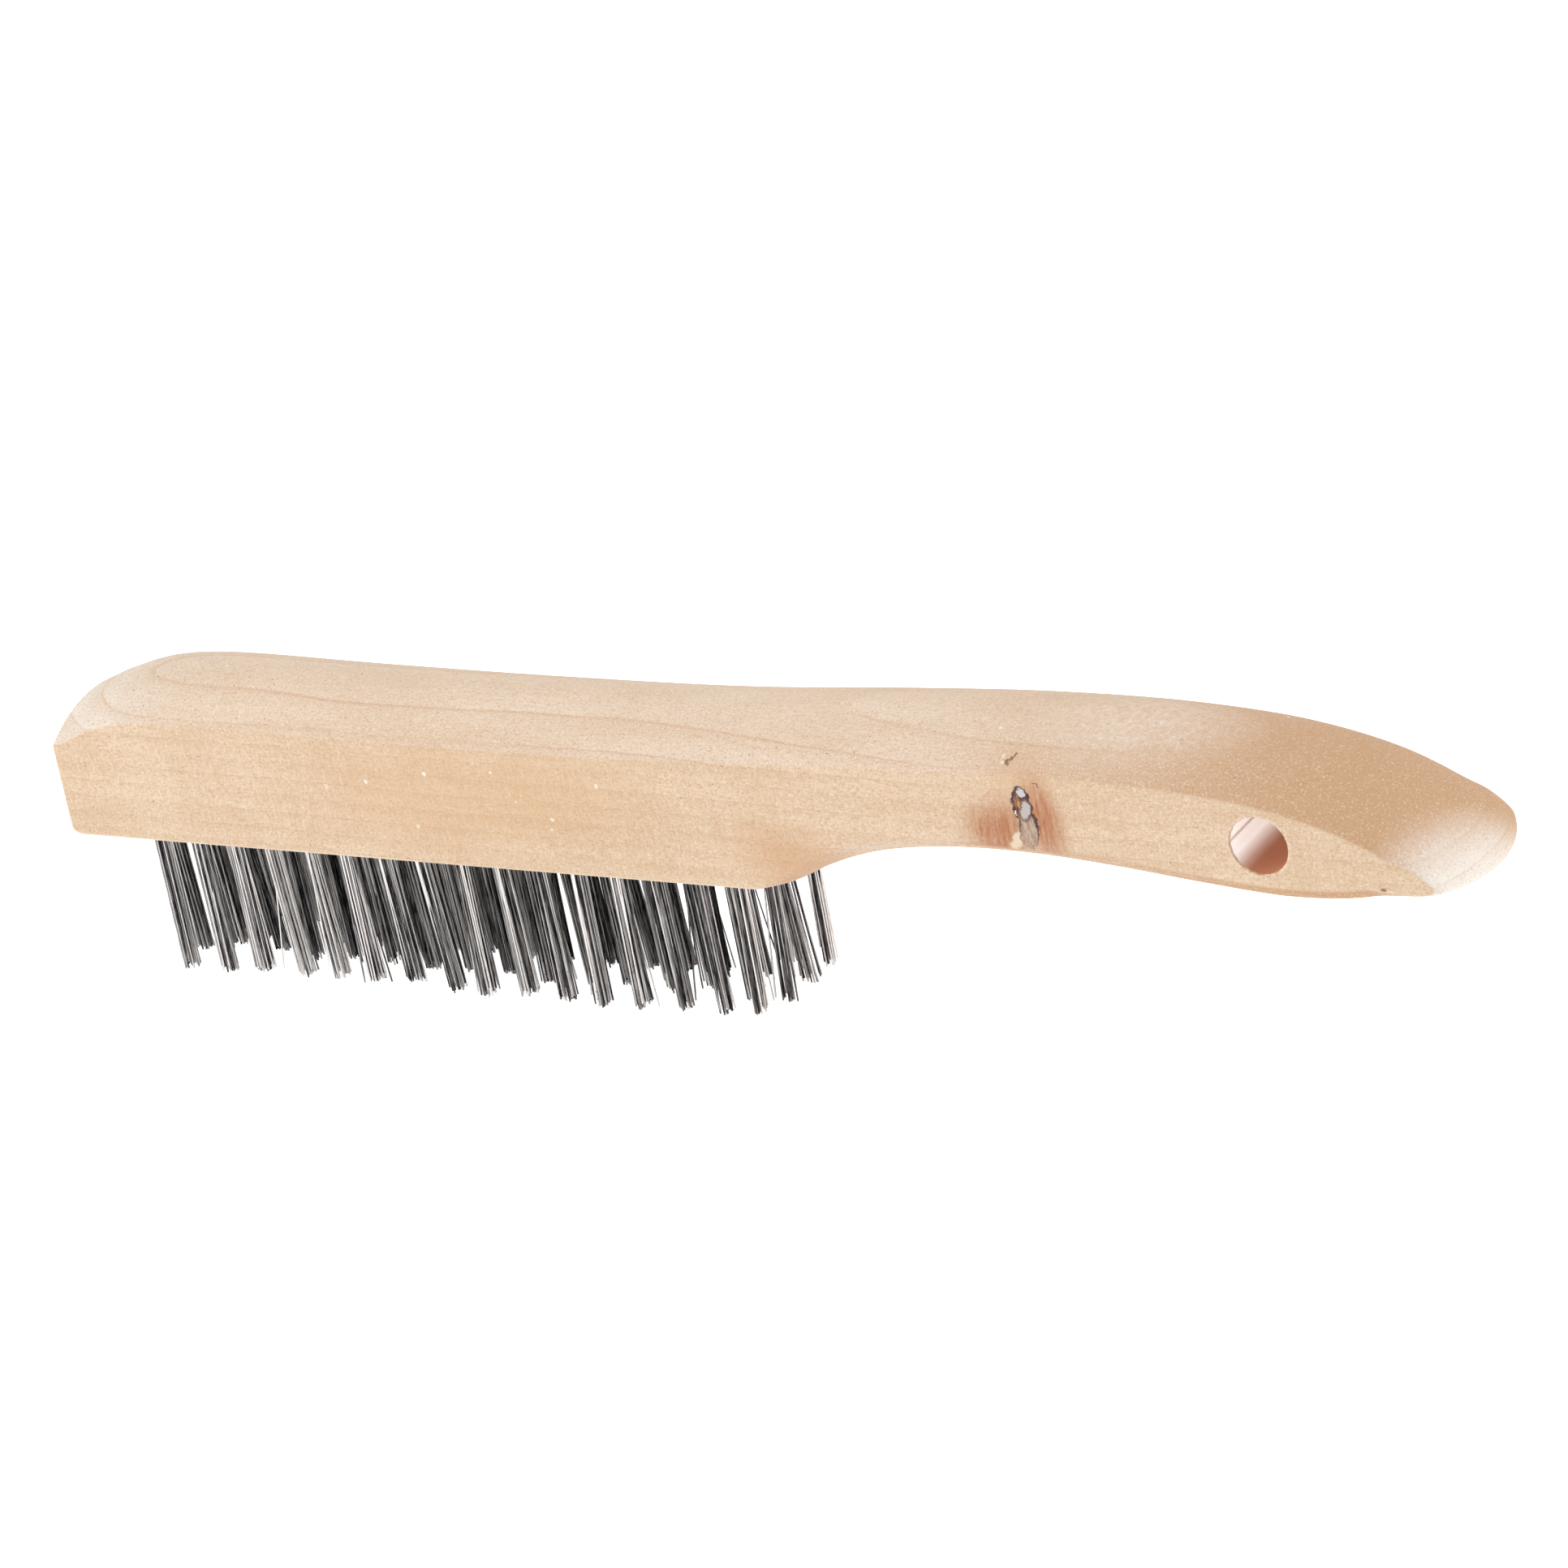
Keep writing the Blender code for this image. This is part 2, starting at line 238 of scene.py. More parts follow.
class BrushColours(bpy.types.PropertyGroup):
    """Colours of the wood, the steel and the floor."""

    side_wood: colour("Side wood", "Planed sides of the block", (0.80, 0.63, 0.465))
    crown_wood: colour("Crown wood", "Sanded crown over the head", (0.80, 0.66, 0.53))
    nose_wood: colour("Nose wood", "Pale wood near the nose", (0.82, 0.77, 0.69))
    # Grip colour: partly the wood's own warmer colour, partly painted shade on the crown
    grip_wood_and_shade: colour("Grip wood", "Warmer wood of the handle's end", (0.58, 0.35, 0.20))
    late_wood: colour("Late wood", "Thin dark line at the end of each year's growth", (0.55, 0.31, 0.15))
    # Lower wall of the hanging hole: the wood's colour with painted shade
    hole_wood_in_shade: colour("Hole wood", "Wall of the drilled hanging hole", (0.44, 0.17, 0.085))
    knot_bark: colour("Knot bark", "Dark rim of the knot", (0.055, 0.022, 0.028))
    knot_core: colour("Knot core", "Grey heart of the knot", (0.52, 0.47, 0.44))
    knot_halo: colour("Knot halo", "Stained wood round the knot", (0.42, 0.14, 0.05))
    dark_wire: colour("Dark wire", "Dullest wires", (0.020, 0.019, 0.022))
    pale_wire: colour("Pale wire", "Brightest wires", (1.0, 0.97, 0.95))
    wire_rust: colour("Wire rust", "Faint brown on some wires and tips", (0.20, 0.12, 0.085))
    anchor_steel: colour("Anchor steel", "Flat wire of the anchors", (0.46, 0.45, 0.44))
    floor: colour("Floor", "Studio floor", (0.93, 0.93, 0.93))


def sizes():
    return bpy.context.scene.brush_sizes


def colours():
    return bpy.context.scene.brush_colours


# Modelling helpers


def nothing_selected():
    if bpy.context.object and bpy.context.object.mode != "OBJECT":
        bpy.ops.object.mode_set(mode="OBJECT")
    bpy.ops.object.select_all(action="DESELECT")


def only(obj):
    """Makes this the one selected and active object."""
    nothing_selected()
    obj.select_set(True)
    bpy.context.view_layer.objects.active = obj


def settle(obj, name):
    """Names the object and moves its place into its mesh."""
    only(obj)
    bpy.ops.object.transform_apply(location=True, rotation=True, scale=True)
    obj.name = obj.data.name = name
    return obj


def object_from(bm, name):
    mesh = bpy.data.meshes.new(name)
    bm.to_mesh(mesh)
    bm.free()
    obj = bpy.data.objects.new(name, mesh)
    bpy.context.scene.collection.objects.link(obj)
    return obj


def joined(objs, name):
    nothing_selected()
    for obj in objs:
        obj.select_set(True)
    bpy.context.view_layer.objects.active = objs[0]
    bpy.ops.object.join()
    return settle(objs[0], name)


def cut_away(obj, cutter):
    """Cuts the cutter's shape out of the object and removes the cutter."""
    step = obj.modifiers.new("cut", "BOOLEAN")
    step.operation = "DIFFERENCE"
    step.solver = "EXACT"
    step.object = cutter
    only(obj)
    bpy.ops.object.modifier_apply(modifier=step.name)
    bpy.data.objects.remove(cutter, do_unlink=True)
    if not obj.data.polygons:
        raise RuntimeError(f"{obj.name} has nothing left after a cut")


def finished(obj, look, nodes):
    """Gives a piece its material, its body and the nodes that it stands for."""
    obj.data.materials.clear()
    obj.data.materials.append(look)
    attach(obj, "root")
    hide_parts(*nodes)


# The block's shape


def spline(points, steps):
    """A centripetal Catmull-Rom curve through the points, each a row whose first two numbers are x and z."""
    rows = np.array(points, float)
    rows = np.vstack([2 * rows[0] - rows[1], rows, 2 * rows[-1] - rows[-2]])
    found = []
    for i in range(1, len(rows) - 2):
        four = rows[i - 1 : i + 3]
        knots = np.concatenate([[0.0], np.cumsum(np.linalg.norm(np.diff(four[:, :2], axis=0), axis=1) ** 0.5)])
        for t in np.linspace(knots[1], knots[2], steps, endpoint=False):
            level = list(four)
            for reach in (1, 2):
                level = [
                    ((knots[k + reach] - t) * level[k] + (t - knots[k]) * level[k + 1])
                    / (knots[k + reach] - knots[k])
                    for k in range(len(level) - 1)
                ]
            found.append(((knots[2] - t) * level[0] + (t - knots[1]) * level[1]) / (knots[2] - knots[1]))
    found.append(rows[-2])
    return np.array(found)


def with_inward(points):
    """Each outline row with the direction into the block added; round the tip they fan out from one point."""
    rows = np.array(points, float)
    longer = np.vstack([2 * rows[0] - rows[1], rows, 2 * rows[-1] - rows[-2]])
    chord = longer[2:, :2] - longer[:-2, :2]
    inward = np.stack([chord[:, 1], -chord[:, 0]], axis=1)
    tip = rows[:, 0] > TIP_START
    inward[tip] = TIP_AIM - rows[tip, :2]
    inward /= np.linalg.norm(inward, axis=1)[:, None]
    return np.hstack([rows, inward])


def eased(value, low, high):
    t = min(max((value - low) / (high - low), 0.0), 1.0)
    return t * t * (3 - 2 * t)


def half_section(x, rounded, share):
    """(y, depth) pairs from the side to the middle: the crown with its softened crease, blended with a plain edge."""
    crease = HEAD_CREASE + (GRIP_CREASE - HEAD_CREASE) * eased(x, *CREASE_SPAN)
    centre_y = HALF_WIDTH - crease
    centre_depth = CROWN_RADIUS - math.sqrt((CROWN_RADIUS - crease) ** 2 - centre_y**2)
    meeting = math.atan2(centre_y, CROWN_RADIUS - centre_depth)
    radius = EDGE_RADIUS * max(share, UNDER_EDGE_SHARE)
    pairs = []
    for k in range(EDGE_COLUMNS + TOP_COLUMNS // 2 + 1):
        if k <= EDGE_COLUMNS:
            turn = k / EDGE_COLUMNS
            angle = 0.5 * math.pi + (meeting - 0.5 * math.pi) * turn
            crown = (centre_y + crease * math.sin(angle), centre_depth - crease * math.cos(angle))
            angle = 0.5 * math.pi * (1 - turn)
            edge = (HALF_WIDTH - radius + radius * math.sin(angle), radius - radius * math.cos(angle))
        else:
            left = 1 - (k - EDGE_COLUMNS) / (TOP_COLUMNS // 2)
            crown = (CROWN_RADIUS * math.sin(meeting * left), CROWN_RADIUS * (1 - math.cos(meeting * left)))
            edge = ((HALF_WIDTH - radius) * left, 0.0)
        pairs.append([(1 - rounded) * a + rounded * b for a, b in zip(crown, edge)])
    return pairs


def block_skin():
    """The outline's sections side by side, joined to each other, closed by the two flat sides."""
    curve = spline(with_inward(OUTLINE), SPLINE_STEPS)
    curve[-1, 4:] = (0.0, 1.0)
    over_nose = curve[0] + (curve[0] - curve[1]) * NOSE_OVERRUN / (curve[1, 0] - curve[0, 0])
    under_nose = curve[-1].copy()
    under_nose[0] = over_nose[0]
    curve = np.vstack([over_nose, curve, under_nose])
    bm = bmesh.new()
    rings = []
    for x, z, rounded, share, inward_x, inward_z in curve:
        size = math.hypot(inward_x, inward_z)
        half = half_section(x, min(max(rounded, 0.0), 1.0), share)
        section = [(-y, depth) for y, depth in half] + half[-2::-1]
        rings.append(
            [bm.verts.new((x + d * inward_x / size, y, z + d * inward_z / size)) for y, d in section]
        )
    for ring, following in zip(rings, rings[1:] + rings[:1]):
        for k in range(len(ring) - 1):
            bm.faces.new((ring[k], ring[k + 1], following[k + 1], following[k]))
    for k in (0, -1):
        bm.faces.new([ring[k] for ring in rings])
    bmesh.ops.remove_doubles(bm, verts=bm.verts, dist=0.004)
    return bm


def loop_in_order(edges):
    """The vertices of one closed loop of edges, in order."""
    edges = set(edges)
    first = next(iter(edges))
    order = [first.verts[0], first.verts[1]]
    edges.remove(first)
    while edges:
        step = next(e for e in order[-1].link_edges if e in edges)
        edges.remove(step)
        order.append(step.other_vert(order[-1]))
    return order[:-1]


def round_the_nose(bm):
    """Cuts the skin square a little behind the nose and grows the rounded nose from that cut, ring by ring."""
    cut = bmesh.ops.bisect_plane(
        bm, geom=bm.verts[:] + bm.edges[:] + bm.faces[:], plane_co=(NOSE_DEPTH, 0, 0), plane_no=(1, 0, 0),
        clear_inner=True,
    )
    rim = [part for part in cut["geom_cut"] if isinstance(part, bmesh.types.BMEdge)]
    loop = loop_in_order(rim)
    start = [vert.co.copy() for vert in loop]
    top = max(co.z for co in start)
    slope = (OUTLINE[1][1] - OUTLINE[0][1]) / (OUTLINE[1][0] - OUTLINE[0][0])
    steps = [NOSE_DEPTH * math.sin(0.5 * math.pi * k / 8) for k in range(1, 6)]
    steps += [NOSE_DEPTH - NOSE_EDGE * (1 - math.sin(0.5 * math.pi * k / 5)) for k in range(1, 6)]
    for gone in sorted({round(min(step, NOSE_DEPTH), 4) for step in steps}):
        x = NOSE_DEPTH - gone
        under = NOSE_DEPTH - math.sqrt(max(NOSE_DEPTH**2 - gone**2, 0.0))
        over = max(NOSE_EDGE - x, 0.0)
        edge = NOSE_EDGE - math.sqrt(max(NOSE_EDGE**2 - over**2, 0.0))
        height = top - slope * gone - edge
        grown = [
            bm.verts.new((x, co.y * (HALF_WIDTH - edge) / HALF_WIDTH, under + co.z / top * (height - under)))
            for co in start
        ]
        for k, vert in enumerate(grown):
            bm.faces.new((loop[k - 1], loop[k], vert, grown[k - 1]))
        loop = grown
    bm.faces.new(loop)
    bmesh.ops.recalc_face_normals(bm, faces=bm.faces)


def block_point(x, y, z):
    """A point given from the block's nose and underside, in the row frame."""
    return BASE + Vector((x, y, z)) * MM


def row_x(row):
    return FIRST_ROW_X + row * ROW_PITCH


def line_shift(row):
    """Every other line of tufts is spaced a little wider, so it drifts against the others."""
    return FIRST_SHIFT + row * SHIFT_STEP


def tuft_x(row, k):
    return row_x(row) + line_shift(row) * (k % 2)


def tuft_y(k):
    return (k - (TUFTS_PER_ROW - 1) / 2) * TUFT_PITCH


def slot_cutter(x, y, size):
    bpy.ops.mesh.primitive_cube_add(
        size=1.0, location=block_point(x, y, ANCHOR_MIDDLE), scale=[side * MM for side in size],
    )
    return bpy.context.object


def drilled(obj):
    """Tuft holes, the slots that the anchors bite into the wood, and the hanging hole."""
    nothing_selected()
    drills, even, odd, necks = [], [], [], []
    for row in range(ROWS):
        for k in range(TUFTS_PER_ROW):
            bpy.ops.mesh.primitive_cylinder_add(
                vertices=HOLE_SIDES, radius=HOLE_RADIUS * MM, depth=2 * HOLE_DEPTH * MM,
                location=block_point(tuft_x(row, k), tuft_y(k), 0),
            )
            drills.append(bpy.context.object)
            (odd if k % 2 else even).append(slot_cutter(tuft_x(row, k), tuft_y(k), ANCHOR_SLOT))
            if k:
                long = abs(line_shift(row)) + NECK_SLOT[0]
                middle = row_x(row) + line_shift(row) / 2
                necks.append(slot_cutter(middle, tuft_y(k - 0.5), (long, *NECK_SLOT[1:])))
    for name, cutters in (("drills", drills), ("even", even), ("odd", odd), ("necks", necks)):
        cut_away(obj, joined(cutters, name))
    bpy.ops.mesh.primitive_cylinder_add(
        vertices=HANG_SIDES, radius=HANG_RADIUS * MM, depth=4 * HALF_WIDTH * MM,
        location=block_point(HANG_AT[0], 0, HANG_AT[1]), rotation=(math.pi / 2, 0, 0),
    )
    cut_away(obj, settle(bpy.context.object, "hanging hole"))


def wear_the_rim(obj):
    """Rounds the hanging hole's two mouths and tears them a little."""
    centre = block_point(HANG_AT[0], 0, HANG_AT[1])
    only(obj)
    bpy.ops.object.mode_set(mode="EDIT")
    bpy.ops.mesh.select_mode(type="EDGE")
    bpy.ops.mesh.select_all(action="DESELECT")
    bm = bmesh.from_edit_mesh(obj.data)
    near = HANG_RADIUS * MM + 0.02 * MM
    for edge in bm.edges:
        edge.select_set(
            all(
                math.hypot(v.co.x - centre.x, v.co.z - centre.z) < near and abs(v.co.y) > (HALF_WIDTH - 0.01) * MM
                for v in edge.verts
            )
        )
    bmesh.update_edit_mesh(obj.data)
    bpy.ops.mesh.bevel(offset=sizes().hole_rim, segments=3, affect="EDGES", profile=0.5)
    bpy.ops.object.mode_set(mode="OBJECT")
    draw = np.random.default_rng(41)
    waves = draw.uniform(0, 2 * math.pi, 6)
    for vert in obj.data.vertices:
        x, z = vert.co.x - centre.x, vert.co.z - centre.z
        out = math.hypot(x, z)
        if out < (HANG_RADIUS + 0.5) * MM and abs(vert.co.y) > (HALF_WIDTH - 1.0) * MM:
            angle = math.atan2(z, x)
            torn = max(math.cos(angle - math.radians(150)), 0.0) ** 2
            rough = sum(math.sin(angle * (5 + 4 * n) + wave) for n, wave in enumerate(waves)) / 6
            grow = 1 + (0.010 + 0.030 * torn) * rough * eased(abs(vert.co.y) / MM, HALF_WIDTH - 1.0, HALF_WIDTH)
            vert.co.x, vert.co.z = centre.x + x * grow, centre.z + z * grow


def smooth_and_weigh(obj, angle):
    """Smooth shading that leaves real edges sharp and flat sides flat."""
    only(obj)
    bpy.ops.object.shade_smooth_by_angle(angle=angle)
    step = obj.modifiers.new("weighted", "WEIGHTED_NORMAL")
    step.mode = "FACE_AREA"
    step.weight = 90
    step.keep_sharp = True
    bpy.ops.object.modifier_apply(modifier=step.name)


# The wires' shape


def straight_wire(radius, length, segments):
    """One straight wire along Z, cut across at even steps."""
    bpy.ops.mesh.primitive_cylinder_add(
        vertices=5, radius=radius, depth=length, end_fill_type="NGON", location=(0, 0, 0),
    )
    wire = bpy.context.object
    only(wire)
    bpy.ops.object.mode_set(mode="EDIT")
    for k in range(1, segments):
        bpy.ops.mesh.select_all(action="SELECT")
        bpy.ops.mesh.bisect(plane_co=(0, 0, length * (k / segments - 0.5)), plane_no=(0, 0, 1))
    bpy.ops.mesh.select_all(action="SELECT")
    bpy.ops.mesh.normals_make_consistent(inside=False)
    bpy.ops.object.mode_set(mode="OBJECT")
    return wire


def spread_in_disc(draw, count, radius, gap):
    """Places inside a disc that keep clear of each other and of the anchor's plane, one per folded wire."""
    places, room = [], gap
    while len(places) < count:
        tries = 0
        while len(places) < count and tries < 400:
            tries += 1
            at = draw.uniform(-radius, radius, 2)
            if at[0] < 0.06 or math.hypot(*at) > radius:
                continue
            if all(math.hypot(at[0] - x, at[1] - y) > room for x, y in places):
                places.append((at[0], at[1]))
        room *= 0.93
    return places


def folded_wire_path(draw, place, other, lengths, bend, stray):
    """Stations of one wire in millimetres from the tuft's mouth: from one cut end, over the anchor, to the other."""
    splay = sizes().splay
    fold = draw.uniform(ANCHOR_TOP + 0.25, HOLE_DEPTH - 0.25)
    path = []
    for side, (x, y) in ((1, place), (-1, other)):
        trim = lengths[0 if side > 0 else 1]
        lean = draw.normal(0, 0.010, 2) + bend
        if stray[0 if side > 0 else 1] > 0:
            lean = lean + draw.normal(0, 0.05, 2)
        curl = draw.normal(0, 0.13, 2)
        leg = []
        for share in (1.0, 0.8, 0.58, 0.34, 0.0):
            down = share * trim
            opened = 1 + (splay - 1) * share**1.15
            bow = math.sin(math.pi * share) * 0.5
            leg.append(
                (
                    side * x * opened + lean[0] * down + curl[0] * bow * share,
                    y * opened + lean[1] * down + curl[1] * bow * share,
                    -down,
                )
            )
        leg.append((side * max(x, 0.5), y, fold - 1.0))
        path.append(leg)
    over = (0.0, 0.5 * (place[1] + other[1]), fold)
    return np.array(path[0] + [over] + path[1][::-1])


def swept(base, path, radius, roll):
    """The straight wire's vertices carried along a path, one ring per station."""
    count = len(path)
    ahead = np.gradient(path, axis=0)
    ahead /= np.linalg.norm(ahead, axis=1)[:, None]
    side = np.cross(ahead, (0.0, 1.0, 0.0))
    side /= np.linalg.norm(side, axis=1)[:, None]
    third = np.cross(ahead, side)
    step = np.rint((base[:, 2] / base[:, 2].max() * 0.5 + 0.5) * (count - 1)).astype(int)
    c, s = math.cos(roll), math.sin(roll)
    u, v = base[:, 0] * c - base[:, 1] * s, base[:, 0] * s + base[:, 1] * c
    return path[step] + (u[:, None] * side[step] + v[:, None] * third[step]) * radius


def bristle_row(row, wire):
    """Four bundles of folded wires in one transverse row, as one mesh with a tone for each wire and painted light
    that makes the two outer lines of bundles brighter than the shaded inner ones.
    """
    draw = np.random.default_rng(700 + row)
    radius = sizes().wire_radius / MM
    base = np.array([v.co for v in wire.data.vertices], float)
    base[:, :2] /= np.abs(base[:, :2]).max()
    shape = [list(p.vertices) for p in wire.data.polygons]
    trim = BASE.z / MM
    ragged = sizes().raggedness / MM
    points, faces, tones, painted_light_lines = [], [], [], []
    for k in range(TUFTS_PER_ROW):
        last = row >= ROWS - 3
        count = sizes().wires_per_tuft - (4 * (row - ROWS + 4) if last else 0)
        right = spread_in_disc(draw, count, TUFT_RADIUS - radius, 2 * radius)
        left = spread_in_disc(draw, count, TUFT_RADIUS - radius, 2 * radius)
        right.sort(key=lambda at: at[1])
        left.sort(key=lambda at: at[1])
        bend = draw.normal(0, 0.016, 2) + (BUNDLE_LEAN + (END_LEANS[k] if row == ROWS - 1 else 0.0), 0.0)
        slant = draw.normal(0, 0.30, 2)
        clump = draw.uniform(0, 2 * math.pi, 3)
        bundle_short = draw.exponential(0.35)
        for place, other in zip(right, left):
            lengths, stray, ends = [], [], []
            for sign, (x, y) in ((1, place), (-1, other)):
                lump = 0.5 * math.sin(3.4 * sign * x + clump[0]) + 0.5 * math.sin(3.1 * y + clump[1])
                short = draw.exponential(0.45) + (draw.random() < 0.05) * draw.uniform(1.0, 6.0)
                tilt = slant[0] * sign * x + slant[1] * y
                lengths.append(trim + 0.6 + ragged * (1.1 * lump + 1.5 * tilt - short) - bundle_short)
                stray.append(draw.random() < (0.2 if last else 0.06))
                ends.append(draw.random())
            path = folded_wire_path(draw, place, other, lengths, bend, stray)
            made = swept(base, path, radius * draw.uniform(0.85, 1.08), draw.uniform(0, 2 * math.pi))
            made += np.array([tuft_x(row, k), tuft_y(k), 0.0])
            start = len(points) * len(base)
            points.append(made)
            faces += [[start + n for n in face] for face in shape]
            tones.append(np.where(base[:, 2] < 0, *ends))
            # Painted light: 1 for the two outer lines, which are made brighter than the shaded inner lines
            painted_light_lines.append(np.full(len(base), float(k in (0, TUFTS_PER_ROW - 1))))
    mesh = bpy.data.meshes.new("bristles")
    placed = np.concatenate(points) * MM + np.array(BASE)
    placed[:, 2] = np.maximum(placed[:, 2], -0.0006)
    mesh.from_pydata(placed.tolist(), [], faces)
    for name, values in (("wire_tone", tones), ("outer_line_painted_light", painted_light_lines)):
        stored = mesh.attributes.new(name, "FLOAT", "POINT")
        stored.data.foreach_set("value", np.concatenate(values).astype(np.float32))
    obj = bpy.data.objects.new("bristles", mesh)
    bpy.context.scene.collection.objects.link(obj)
    obj = settle(obj, f"bristle_row_{row + 1:02d}")
    bpy.ops.object.shade_smooth_by_angle(angle=math.radians(80))
    return obj


# Material helpers


class Shading:
    """Adds nodes to one tree and joins them. Each call gives back an output socket."""

    def __init__(self, tree):
        self.tree = tree

    def add(self, kind, inputs=(), output=0, **settings):
        node = self.tree.nodes.new(kind)
        for name, value in settings.items():
            setattr(node, name, value)
        for key, value in dict(inputs).items():
            if isinstance(value, bpy.types.NodeSocket):
                self.tree.links.new(value, node.inputs[key])
            else:
                node.inputs[key].default_value = value
        return node.outputs[output]

    def math(self, operation, *values):
        return self.add("ShaderNodeMath", enumerate(values), operation=operation)

    def total(self, first, *rest):
        for value in rest:
            first = self.math("ADD", first, value)
        return first

    def times(self, first, *rest):
        for value in rest:
            first = self.math("MULTIPLY", first, value)
        return first

    def vector(self, operation, *values):
        return self.add("ShaderNodeVectorMath", enumerate(values), operation=operation)

    def scaled(self, vector, factor):
        return self.add("ShaderNodeVectorMath", {0: vector, "Scale": factor}, operation="SCALE")

    def split(self, vector):
        node = self.tree.nodes.new("ShaderNodeSeparateXYZ")
        self.tree.links.new(vector, node.inputs[0])
        return node.outputs[0], node.outputs[1], node.outputs[2]

    def step(self, value, low, high, start=0.0, end=1.0):
        """A smooth step from start, where value is low, to end, where it is high."""
        return self.add(
            "ShaderNodeMapRange",
            {"Value": value, "From Min": low, "From Max": high, "To Min": start, "To Max": end},
            interpolation_type="SMOOTHSTEP",
        )

    def line(self, value, low, high, start, end):
        return self.add(
            "ShaderNodeMapRange",
            {"Value": value, "From Min": low, "From Max": high, "To Min": start, "To Max": end},
        )

    def noise(self, vector, scale, detail=2.0, roughness=0.5, distortion=0.0):
        return self.add(
            "ShaderNodeTexNoise",
            {"Vector": vector, "Scale": scale, "Detail": detail, "Roughness": roughness, "Distortion": distortion},
        )

    def mix(self, factor, a, b, blend="MIX"):
        return self.add(
            "ShaderNodeMix", {0: factor, 6: a, 7: b}, output=2, data_type="RGBA", blend_type=blend,
        )

    def group(self, tree, inputs, output=0):
        node = self.tree.nodes.new("ShaderNodeGroup")
        node.node_tree = tree
        for key, value in dict(inputs).items():
            if isinstance(value, bpy.types.NodeSocket):
                self.tree.links.new(value, node.inputs[key])
            else:
                node.inputs[key].default_value = value
        return node.outputs[output]


def full(rgb):
    return (*rgb, 1.0)


def new_group(name, inputs, outputs):
    """An empty node group with these sockets, each (name, kind, default)."""
    tree = bpy.data.node_groups.new(name, "ShaderNodeTree")
    for label, kind, default in inputs:
        socket = tree.interface.new_socket(name=label, in_out="INPUT", socket_type=f"NodeSocket{kind}")
        if default is not None:
            socket.default_value = default
    for label, kind in outputs:
        tree.interface.new_socket(name=label, in_out="OUTPUT", socket_type=f"NodeSocket{kind}")
    return tree, tree.nodes.new("NodeGroupInput"), tree.nodes.new("NodeGroupOutput")


def patch_group():
    """A soft-edged oval patch round a centre, turned about Y: 1 inside, 0 outside."""
    tree, given, made = new_group(
        "Patch",
        (
            ("Position", "Vector", None),
            ("Centre", "Vector", (0.0, 0.0, 0.0)),
            ("Reach", "Vector", (1.0, 1.0, 1.0)),
            ("Turn", "Float", 0.0),
            ("Softness", "Float", 0.2),
        ),
        (("Mask", "Float"),),
    )
    s = Shading(tree)
    moved = s.vector("SUBTRACT", given.outputs["Position"], given.outputs["Centre"])
    turned = s.add(
        "ShaderNodeVectorRotate", {"Vector": moved, "Angle": given.outputs["Turn"]}, rotation_type="Y_AXIS",
    )
    shares = s.vector("DIVIDE", turned, given.outputs["Reach"])
    away = s.add("ShaderNodeVectorMath", {0: shares}, output="Value", operation="LENGTH")
    inner = s.math("SUBTRACT", 1.0, given.outputs["Softness"])
    outer = s.math("ADD", 1.0, given.outputs["Softness"])
    mask = s.add(
        "ShaderNodeMapRange",
        {"Value": away, "From Min": inner, "From Max": outer, "To Min": 1.0, "To Max": 0.0},
        interpolation_type="SMOOTHSTEP",
    )
    tree.links.new(mask, made.inputs["Mask"])
    return tree


def streak_group():
    """Fine uneven streaks along one direction: stretched noise, given as a value round one half."""
    tree, given, made = new_group(
        "Streaks",
        (
            ("Position", "Vector", None),
            ("Stretch", "Vector", (1.0, 1.0, 1.0)),
            ("Detail", "Float", 3.0),
            ("Contrast", "Float", 1.0),
        ),
        (("Value", "Float"),),
    )
    s = Shading(tree)
    drawn = s.vector("MULTIPLY", given.outputs["Position"], given.outputs["Stretch"])
    found = s.noise(drawn, 1.0, given.outputs["Detail"], 0.6)
    swing = s.times(s.math("SUBTRACT", found, 0.5), given.outputs["Contrast"])
    tree.links.new(s.math("ADD", swing, 0.5), made.inputs["Value"])
    return tree


def shared_groups():
    groups = {}
    for name, make in (("Patch", patch_group), ("Streaks", streak_group)):
        groups[name] = bpy.data.node_groups.get(name) or make()
    return groups


def new_material(name):
    look = bpy.data.materials.new(name)
    look.use_nodes = True
    tree = look.node_tree
    shader = tree.nodes["Principled BSDF"]
    s = Shading(tree)
    position = s.scaled(s.add("ShaderNodeTexCoord", output="Object"), 1000.0)
    return look, s, shader, position


